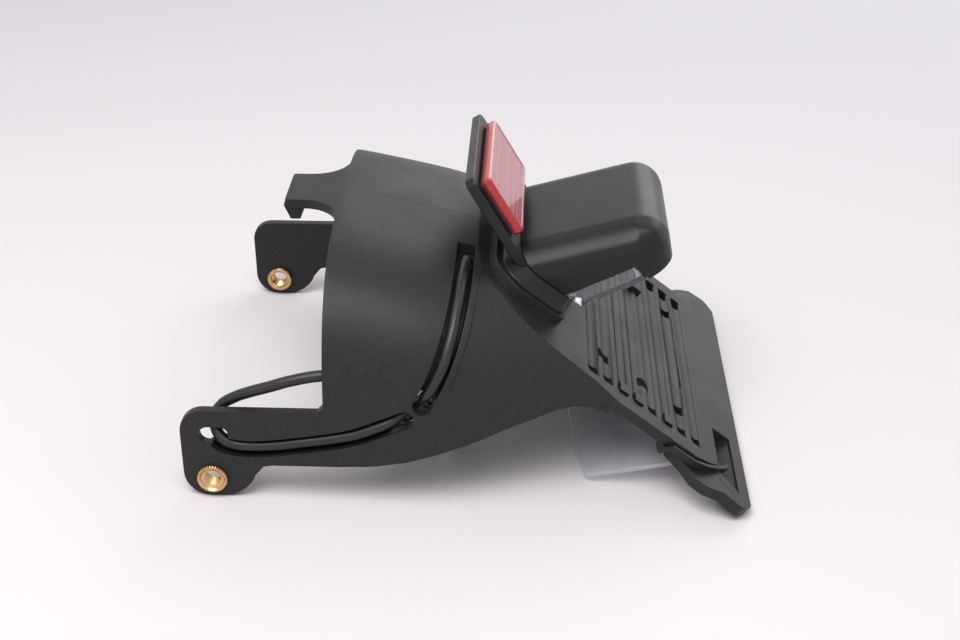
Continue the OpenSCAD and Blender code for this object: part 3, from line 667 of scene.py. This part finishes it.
def wings():
    """Both wings and the strip between them: they leave the panel's underside and rise to its plane."""
    wing = prism("wing", full(WING), -30, 10, PLATE)
    side = [(102, -4.4), (116, -4.4), (126, 0), (126.3, 3), (142.5, 3), (142.5, -5), (126, -5), (116, -8.9), (102, -8)]
    return keep(wing, prism("wing_side", side, 0, 176, PLATE @ side_view(88)))


def slab():
    """The sloping slab, out to the shell above and over its rim below."""
    half = []
    for s in (0.6, 1.5, 3, 5, 8, 12, 17, 23, 30, 38, 46, 54):
        p = plate_point(s, 0, 0)
        y = half_width(p.x) * (1 - (p.z / crown_height(p.x)) ** POWER) ** (1 / POWER)
        half.append((s, y - 1.5))
    return prism("slab", mirrored(half + [(73, 71.5), (114, 71.5), (121.5, 69), (126.5, 66)]), -4.5, 3, PLATE)


def above_panel():
    return prism("above_panel", [(-60, -100), (160, -100), (160, 100), (-60, 100)], 0, 60, PLATE)


def grooves():
    """A soft corrugation across the panel, with a drain hole at both ends of each groove."""
    tools = []
    for i in range(8):
        s = 60.5 + 7.75 * i
        low = [(s - 3.4, 0.3), (s - 2.2, -0.6), (s - 0.9, -1.2), (s + 0.9, -1.2), (s + 2.2, -0.6), (s + 3.4, 0.3)]
        channel = prism("groove", low, 0, 122, PLATE @ side_view(61))
        hole = prism("drain", [(s - 2.2, 55.8), (s + 2.2, 55.8), (s + 2.2, 62.2), (s - 2.2, 62.2)], -6, 1, PLATE)
        tools += [channel, hole, copy_of(hole, FLIP)]
    return tools


def plate_holes():
    tools = []
    for s in (66.4, 88, 107):
        hole = prism("plate_hole", [(s - 3, 39), (s + 3, 39), (s + 3, 45), (s - 3, 45)], -6, 2, PLATE)
        tools += [hole, copy_of(hole, FLIP)]
    # the lower wall of each strap slot slopes towards its upper side
    side = [(126, 8), (135.5, 8), (135.5, -1.2), (130.2, -7), (126, -7)]
    slot = prism("strap_slot", side, 0, 39.2, PLATE @ side_view(77.5))
    tools += [slot, copy_of(slot, FLIP)]
    for x, y, r in ((30, 26, 2.25), (30, -26, 2.25), (22, -14, 4.3)):
        ring = [(x + r * math.cos(math.tau * k / 32), y + r * math.sin(math.tau * k / 32)) for k in range(32)]
        tools.append(prism("round_hole", ring, -6, 6, PLATE))
    return tools


SEAT = [(7, 0, 0), (7, 36, 14), (17, 46.5, 14), (28, 46, 3), (41.4, 46.5, 5), (46.9, 30, 0), (46.9, 0, 0)]


def lamp_seat():
    return prism("lamp_seat", full(SEAT), -1, 4, PLATE)


UPPER = [(98.2, 84), (97.6, 80), (96.2, 74), (94.3, 67), (91.5, 59), (87.5, 50), (83.2, 42)]
LOWER = [
    (76.5, 36), (73.5, 34.9), (66.5, 32), (57.5, 28.5), (48.5, 26.3), (36.5, 24.3), (24.5, 22.6), (15, 22),
    (6.5, 23.3), (3, 26),
]


def resampled(line, steps):
    """More points along a line, on a smooth curve through its own."""
    out = []
    for i in range(len(line) - 1):
        p0, p1, p2, p3 = (Vector(line[max(0, min(len(line) - 1, k))]) for k in (i - 1, i, i + 1, i + 2))
        for k in range(steps):
            t = k / steps
            out.append(0.5 * (2 * p1 + (p2 - p0) * t + (2 * p0 - 5 * p1 + 4 * p2 - p3) * t * t + (3 * p1 - p0 - 3 * p2 + p3) * t ** 3))
    out.append(Vector(line[-1]))
    return out


def channel_band(line, low, high, y_top, round_end=False):
    """A band along a line of the side view, between two distances from it, from y_top out through the left side."""
    pts = resampled(line, 3)
    left, right = [], []
    for i, p in enumerate(pts):
        t = unit(pts[min(i + 1, len(pts) - 1)] - pts[max(i - 1, 0)])
        left.append((p.x - high * t.y, p.y + high * t.x))
        right.append((p.x - low * t.y, p.y + low * t.x))
    cap = []
    if round_end:
        begin = math.degrees(math.atan2(t.y, t.x))
        cap = arc(pts[-1], high, begin + 90, begin - 90, 12)[1:-1]
    place = Matrix.Translation((0, y_top, 0)) @ Matrix.Rotation(math.radians(90), 4, "X")
    return prism("band", left + cap + right[::-1], 0, 90 + y_top, place)


def rod(x, y, z, r, long, axis, sides=28):
    """A round cutter from a point along +Y or +Z."""
    turn = Matrix.Rotation(math.radians(-90), 4, "X") if axis == "Y" else Matrix.Identity(4)
    ring = [(r * math.cos(math.tau * k / sides), r * math.sin(math.tau * k / sides)) for k in range(sides)]
    return prism("rod", ring, 0, long, Matrix.Translation((x, y, z)) @ turn)


STRAP = [
    (99.7, 66.5, -3.4), (100.2, 72.7, -3.4), (101.2, 73, -1.7), (102.6, 73, 0), (109, 73.1, 0), (114, 73.1, 0.1),
    (119, 72.7, 1.1), (123.5, 70.9, 2), (127.5, 67.9, 2.5), (130, 64.7, 2.7),
]


def strap():
    """The right hook strap as a bar on edge, which follows its line down the slope."""
    line = [Vector(p) + Vector((0, 0, -4.4)) for p in STRAP]
    rings = []
    for i, p in enumerate(line):
        d = line[min(i + 1, len(line) - 1)] - line[max(i - 1, 0)]
        d = unit(Vector((d.x, d.y, 0)))
        n = Vector((-d.y, d.x, 0)) * 0.9
        up = Vector((0, 0, 3.4))
        rings.append([tuple(q) for q in (p + n, p - n, p - n + up, p + n + up)])
    return stack("strap", rings, PLATE)


CHANNEL_HALF = LEAD_D / 2 + 1.4
BRIDGE_HOLES = [(69.8, 33.6), (73, 34.9), (76.3, 36.1), (80, 39.2), (83.3, 42.3)]


def make_carrier():
    body = shell_sheet("carrier_body", 0, WALL)
    outline = arch_side(90)
    join(outline, ear_side(90), tongue_top())
    keep(body, outline)
    join(body, hook(), slab(), wings())
    cut(body, above_panel())
    join(body, lamp_seat())
    for line in (UPPER, LOWER):
        backing = shell_sheet("backing", 2.0, 5.4)
        keep(backing, channel_band(line, -CHANNEL_HALF - 2, CHANNEL_HALF + 2, -23.5))
        join(body, backing)
    lip = shell_sheet("channel_lip", -0.45, 1.4)
    keep(lip, channel_band(UPPER[1:-1], CHANNEL_HALF, CHANNEL_HALF + 2.8, -30))
    join(body, lip)
    for line in (UPPER, LOWER[::-1]):
        channel = shell_sheet("channel", -1.0, 6.2)
        keep(channel, channel_band(line, -CHANNEL_HALF, CHANNEL_HALF, -25.5, round_end=True))
        cut(body, channel)
    cut(body, *[rod(98.2, y, 60, LEAD_D / 2 + 0.1, 19, "Z") for y in (-28, -32)])
    cut(body, *[rod(x, -82.2, z, CHANNEL_HALF - 0.3, 22.2, "Y") for x, z in BRIDGE_HOLES])
    slot = rounded([(-4.1, 24.4, 3.59), (7.6, 24.4, 3.59), (7.6, 31.6, 3.59), (-4.1, 31.6, 3.59)], 8)
    cut(body, prism("ear_slot", slot, 0, 9.4, Matrix.Translation((0, -79.6, 0)) @ Matrix.Rotation(math.radians(90), 4, "X")))
    seat = rod(0, 81, 8.6, 5.75, 9, "Y", 48)
    cut(body, copy_of(seat, FLIP), seat)
    cut(body, *grooves(), *plate_holes())
    half_strap = strap()
    join(body, copy_of(half_strap, FLIP), half_strap)
    soften(body, 0.3, angle=24, smooth=32, even=False)
    return place_piece(body, CARRIER, "carrier_plastic", "carrier")


carrier = make_carrier()


# ---------------------------------------------------------------- threaded inserts
def make_insert(name, node, flip):
    """Brass insert: a knurled collar at both ends, a wide chamfer, and the thread's ridges in the bore."""
    crest, root, pitch, low, high = 3.3, 3.85, 1.25, -2.2, 6.2
    thread = []
    for k in range(5):
        z = high - 1.5 - pitch * k
        thread += [(crest, z), (crest, z - 0.16), (root, z - 0.62), (root, z - 0.78)]
    profile = [(4.1, low), (5.6, low), (6.0, low + 0.4), (6.0, -0.2), (5.75, 0), (5.75, 4.4), (6.15, 4.6), (6.15, 5.7)]
    profile += [(5.8, high), (5.2, high), (4.7, high - 0.5), (4.5, high - 0.9), (3.9, high - 1.2)]
    o = lathe(name, profile + thread, 144, Matrix.Identity(4))
    for v in o.data.vertices:
        r = math.hypot(v.co.x, v.co.y)
        if r > 5.9 and not -0.3 < v.co.z < 4.5:
            tooth = round(math.atan2(v.co.y, v.co.x) / math.tau * 144) % 4 < 2
            v.co.x *= 1 - 0.045 * tooth
            v.co.y *= 1 - 0.045 * tooth
    o.data.transform(Matrix.Translation((0, 83.6, 8.6)) @ Matrix.Rotation(math.radians(-90), 4, "X"))
    if flip:
        o.data.transform(FLIP)
        outward(o)
    alone(o)
    bpy.ops.object.shade_smooth_by_angle(angle=math.radians(25))
    return place_piece(o, BRASS, "insert_brass", node)


make_insert("right_insert_knurled", "right_insert", False)
make_insert("left_insert_knurled", "left_insert", True)

# ---------------------------------------------------------------- lamp
HOOD_LEN, HOOD_HALF, HOOD_DEPTH, HOOD_RISE = 58.7, 38.5, 21.2, 15.7
SEAM = 10.0
hood_at = plate_point(13.4, 0, 13.4)
HOOD = Matrix.Translation(hood_at) @ Matrix.Rotation(math.radians(-HOOD_RISE), 4, "Y")
foot = HOOD.inverted() @ plate_point(46.5, 0, SEAM)
UNDER_TILT = math.atan2(-HOOD_DEPTH - foot.z, HOOD_LEN - 1.8 - foot.x)
UNDER = HOOD @ Matrix.Translation((foot.x, 0, foot.z)) @ Matrix.Rotation(-UNDER_TILT, 4, "Y")
LEAN, BRACKET_LEN, BRACKET_T = 30.5, 44.0, 4.0
STAND = (
    Matrix.Translation(plate_point(17.9, 0, 6))
    @ Matrix.Rotation(math.radians(90 - LEAN), 4, "Y")
    @ Matrix.Translation((-BRACKET_LEN, 0, 0))
)


def hood_solid(inset):
    """The hood's outer form, or its hollow: the side profile's block with its upper and rear edges rounded together."""
    rear, side, edge = HOOD_LEN - inset, HOOD_HALF - inset, 13.5 - inset
    profile = [(-14, -inset), (rear, -inset), (rear - 4, -inset - 46), (-14, -inset - 46)]
    o = prism("hood", profile, 0, 2 * side)
    edit(o, "DESELECT")
    done()
    for e in o.data.edges:
        a, b = (o.data.vertices[i].co for i in e.vertices)
        along_top = min(a.y, b.y) > -inset - 0.01 and max(a.x, b.x) > 0
        upright = min(a.x, b.x) > rear - 5 and abs(a.z - b.z) < 0.01
        e.select = along_top or upright
    bpy.ops.object.mode_set(mode="EDIT")
    bpy.ops.mesh.select_mode(type="EDGE")
    bpy.ops.mesh.bevel(offset=edge, offset_type="OFFSET", segments=10, profile=0.5, affect="EDGES")
    done()
    o.data.transform(HOOD @ side_view(side))
    under = prism(
        "under", [(-30, 30), (90, 30), (90, -HOOD_DEPTH + inset), (rear - 1.8, -HOOD_DEPTH + inset), (foot.x, foot.z + inset), (-30, foot.z + inset - 8)],
        0, 100, HOOD @ side_view(50),
    )
    low = SEAM - (1 if inset > 0 else 0)
    above = prism("above", [(-20, -60), (140, -60), (140, 60), (-20, 60)], low, 100, PLATE)
    behind = prism("behind", [(-60, -60), (80, -60), (80, 60), (-60, 60)], BRACKET_T + inset, 124, STAND)
    return keep(o, under, above, behind)


LENS_H, LENS_LEN = 7.4, 29.5
LENS_HALF = HOOD_HALF - 0.4
BOARD_LIFT = 8.0


def make_hood():
    o = hood_solid(0)
    hollow = hood_solid(2.5)
    for y in (-24, 24):
        boss = [(14 + 3 * math.cos(math.tau * k / 24), y + 3 * math.sin(math.tau * k / 24)) for k in range(24)]
        cut(hollow, prism("boss", boss, BOARD_LIFT + 1.6, BOARD_LIFT + 42, UNDER))
    cut(o, hollow)
    gap = prism(
        "lens_gap", [(-9, LENS_H + 0.1), (-9, -8), (LENS_LEN + 0.1, -8), (LENS_LEN + 0.1, 0), (LENS_LEN - 2.4, LENS_H + 0.1)],
        0, 79, UNDER @ side_view(39.5),
    )
    keep(gap, prism("over_seam", [(0, -60), (120, -60), (120, 60), (0, 60)], SEAM - 1, 70, PLATE))
    cut(o, gap)
    soften(o, 0.35)
    return place_piece(o, LAMP, "lamp_plastic", "lamp_hood")


def lens_solid(inset, top):
    profile = rounded(
        [(-8.4 + inset, LENS_H + top, 0), (inset * 1.2, inset, 0.4), (LENS_LEN - inset, inset, 1),
         (LENS_LEN - 2.5 - inset, LENS_H + top, 1.5)], 4,
    )
    return prism("lens", profile, 0, 2 * (LENS_HALF - inset), UNDER @ side_view(LENS_HALF - inset))


def lens_plan(inset):
    """The lens as seen from below, with its rear corners rounded."""
    half, rear = LENS_HALF - inset, LENS_LEN - inset
    return prism("lens_plan", full([(-20, 1, 0), (-20, half, 0), (rear, half, 4 - inset), (rear, 1, 0)]), -20, 20, UNDER)


def make_lens():
    """A clear tray with low ribs on the inner face of its floor."""
    o = keep(lens_solid(0, 0), lens_plan(0))
    hollow = keep(lens_solid(2.0, 1), lens_plan(2.0))
    ribs = []
    for i in range(9):
        x = 2.5 + 2.9 * i
        ribs.append(prism("rib", [(x - 1.1, 1.95), (x + 1.1, 1.95), (x, 2.25)], 0, 72, UNDER @ side_view(36)))
    cut(o, hollow)
    join(o, *ribs)
    keep(o, prism("over_seam", [(0, -60), (120, -60), (120, 60), (0, 60)], SEAM, 70, PLATE))
    soften(o, 0.3, segments=3)
    return place_piece(o, LENS, "clear_lens", "lamp_lens")


def make_bracket():
    outline = rounded([(0, -37, 4), (0, 37, 4), (BRACKET_LEN, 37, 2), (BRACKET_LEN, -37, 2)], 8)
    o = prism("bracket_plate", outline, 0, BRACKET_T, STAND)
    soften(o, 0.6, segments=3)
    return place_piece(o, BRACKET, "bracket_plastic", "reflector_bracket")


def reflector_outline(inset):
    top, low, half = 4.5 + inset, 4.5 + 26.8 - inset, 32 - inset
    return rounded([(top, -half, 1.5), (top, half, 1.5), (low, half, 1.5), (low, -half, 1.5)], 6)


def make_reflector():
    pad = prism("reflector_pad_piece", reflector_outline(1), BRACKET_T, BRACKET_T + 1, STAND)
    soften(pad, 0.15)
    place_piece(pad, FOAM, "foam", "reflector_pad")
    back = prism("reflector_back_piece", reflector_outline(0), BRACKET_T + 1, BRACKET_T + 2, STAND)
    soften(back, 0.2)
    place_piece(back, RED_BACK, "reflector_back", "reflector_back")
    z = BRACKET_T + 2
    rings = [[(x, y, h) for x, y in reflector_outline(inset)] for inset, h in ((0, z), (0, z + 2.2), (0.7, z + 3.0))]
    rings += [[(x, y, z + 3.0) for x, y in reflector_outline(1.6)], [(x, y, z + 2.75) for x, y in reflector_outline(1.9)]]
    lens = stack("reflector_face", rings, STAND)
    soften(lens, 0.15)
    place_piece(lens, RED, "reflector_red", "reflector_lens")


FLAP_T, FLAP_HALF, FLAP_RISE = 2.0, 65.0, 11.0


def make_flap():
    """Clear sheet: screwed under the panel, folded back, with a bowed front edge."""
    rise = math.radians(FLAP_RISE)
    fold = Vector(plate_xz(115, -4.5 - FLAP_T))
    ahead = Vector((-math.cos(rise), -math.sin(rise)))
    down = Vector((math.sin(rise), -math.cos(rise))) * FLAP_T
    turn_out = Vector(plate_xz(119, -4.5))
    profile = [plate_xz(99, -4.5 - FLAP_T), plate_xz(99, -4.5), tuple(turn_out), tuple(fold + down)]
    profile += [tuple(fold + ahead * 52 + down), tuple(fold + ahead * 52), tuple(fold)]
    o = prism("flap", profile, 0, 2 * FLAP_HALF, side_view(FLAP_HALF))
    bow = [(fold.x - 47.5 + 6.5 * (y / FLAP_HALF) ** 2, y, 0) for y in range(0, 61, 4)]
    corners = bow + [(fold.x - 41, FLAP_HALF, 3.5), (fold.x + 9, FLAP_HALF, 0)]
    keep(o, prism("flap_outline", full(corners), -30, 60))
    soften(o, 0.25, angle=40)
    return place_piece(o, SHEET, "clear_sheet", "spray_flap")


make_hood()
make_lens()
make_bracket()
make_reflector()
make_flap()

# ---------------------------------------------------------------- pieces whose solid only needs its edges eased, or only a material
dressed("lamp_base", LAMP, "lamp_plastic", 0.4)
dressed("lamp_gasket", RUBBER, "gasket_rubber", 0.1)
dressed("led_board", BOARD, "board", 0.1)
dressed("leds", LED, "led", 0.15)
dressed("board_screws", ZINC, "screw_steel", 0.1)
dressed("lamp_screws", ZINC, "screw_steel", 0.2)
dressed("lead_grommet", RUBBER, "gasket_rubber", 0.25)
for node, mat in (("connector_housing", CONNECTOR), ("connector_pins", PIN)):
    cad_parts[node].data.materials.clear()
    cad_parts[node].data.materials.append(mat)


# ---------------------------------------------------------------- floor and light
def paper():
    """Studio paper: pale, matt and even, with painted shade that makes it a little darker and cooler towards its far
    end.
    """
    mat, tree, shader, place = start("studio paper", Roughness=0.95, **{"Specular IOR Level": 0.2})
    depth = add(tree, "ShaderNodeSeparateXYZ", {"Vector": place}).outputs["Y"]
    # painted shade: the paper's colour darkens and cools towards the far end
    tree.links.new(tint(tree, spread(tree, depth, 0, 1, -0.1, 1.2), "#ece7e9", "#d8d7dd"), shader.inputs["Base Color"])
    relief(tree, shader, [(noise(tree, place, 2, 2), 0.02, 0.1)])
    return mat


def make_floor():
    bpy.ops.mesh.primitive_plane_add(size=12, location=(0, 0, 0))
    o = bpy.context.object
    o.name = "floor"
    o.data.materials.append(paper())


def soft_light(name, size, power, at, towards):
    data = bpy.data.lights.new(name, "AREA")
    data.shape, data.size, data.energy = "SQUARE", size, power
    o = bpy.data.objects.new(name, data)
    scene.collection.objects.link(o)
    o.location = at
    o.rotation_mode = "QUATERNION"
    o.rotation_quaternion = (Vector(towards) - Vector(at)).to_track_quat("-Z", "Y")


def make_studio():
    """A pale room: what is seen in gloss and through clear plastic is as bright as the paper."""
    world = bpy.data.worlds.new("studio")
    scene.world = world
    world.use_nodes = True
    tree = world.node_tree
    rays = add(tree, "ShaderNodeLightPath").outputs
    seen = add(tree, "ShaderNodeMath", {0: rays["Is Camera Ray"], 1: rays["Is Glossy Ray"]}, operation="MAXIMUM").outputs[0]
    seen = add(tree, "ShaderNodeMath", {0: seen, 1: rays["Is Transmission Ray"]}, operation="MAXIMUM").outputs[0]
    back = tree.nodes["Background"]
    back.inputs["Color"].default_value = srgb("#f4f3f6")
    tree.links.new(spread(tree, seen, 0.52, 1.0), back.inputs["Strength"])
    soft_light("softbox_top", 0.8, 10.5, (-0.22, -0.52, 1.05), (0, 0, 0))
    soft_light("softbox_back", 1.1, 6, (0.55, 1.1, 0.75), (0, 0, 0.05))


make_floor()
make_studio()
scene.view_settings.view_transform = "Standard"
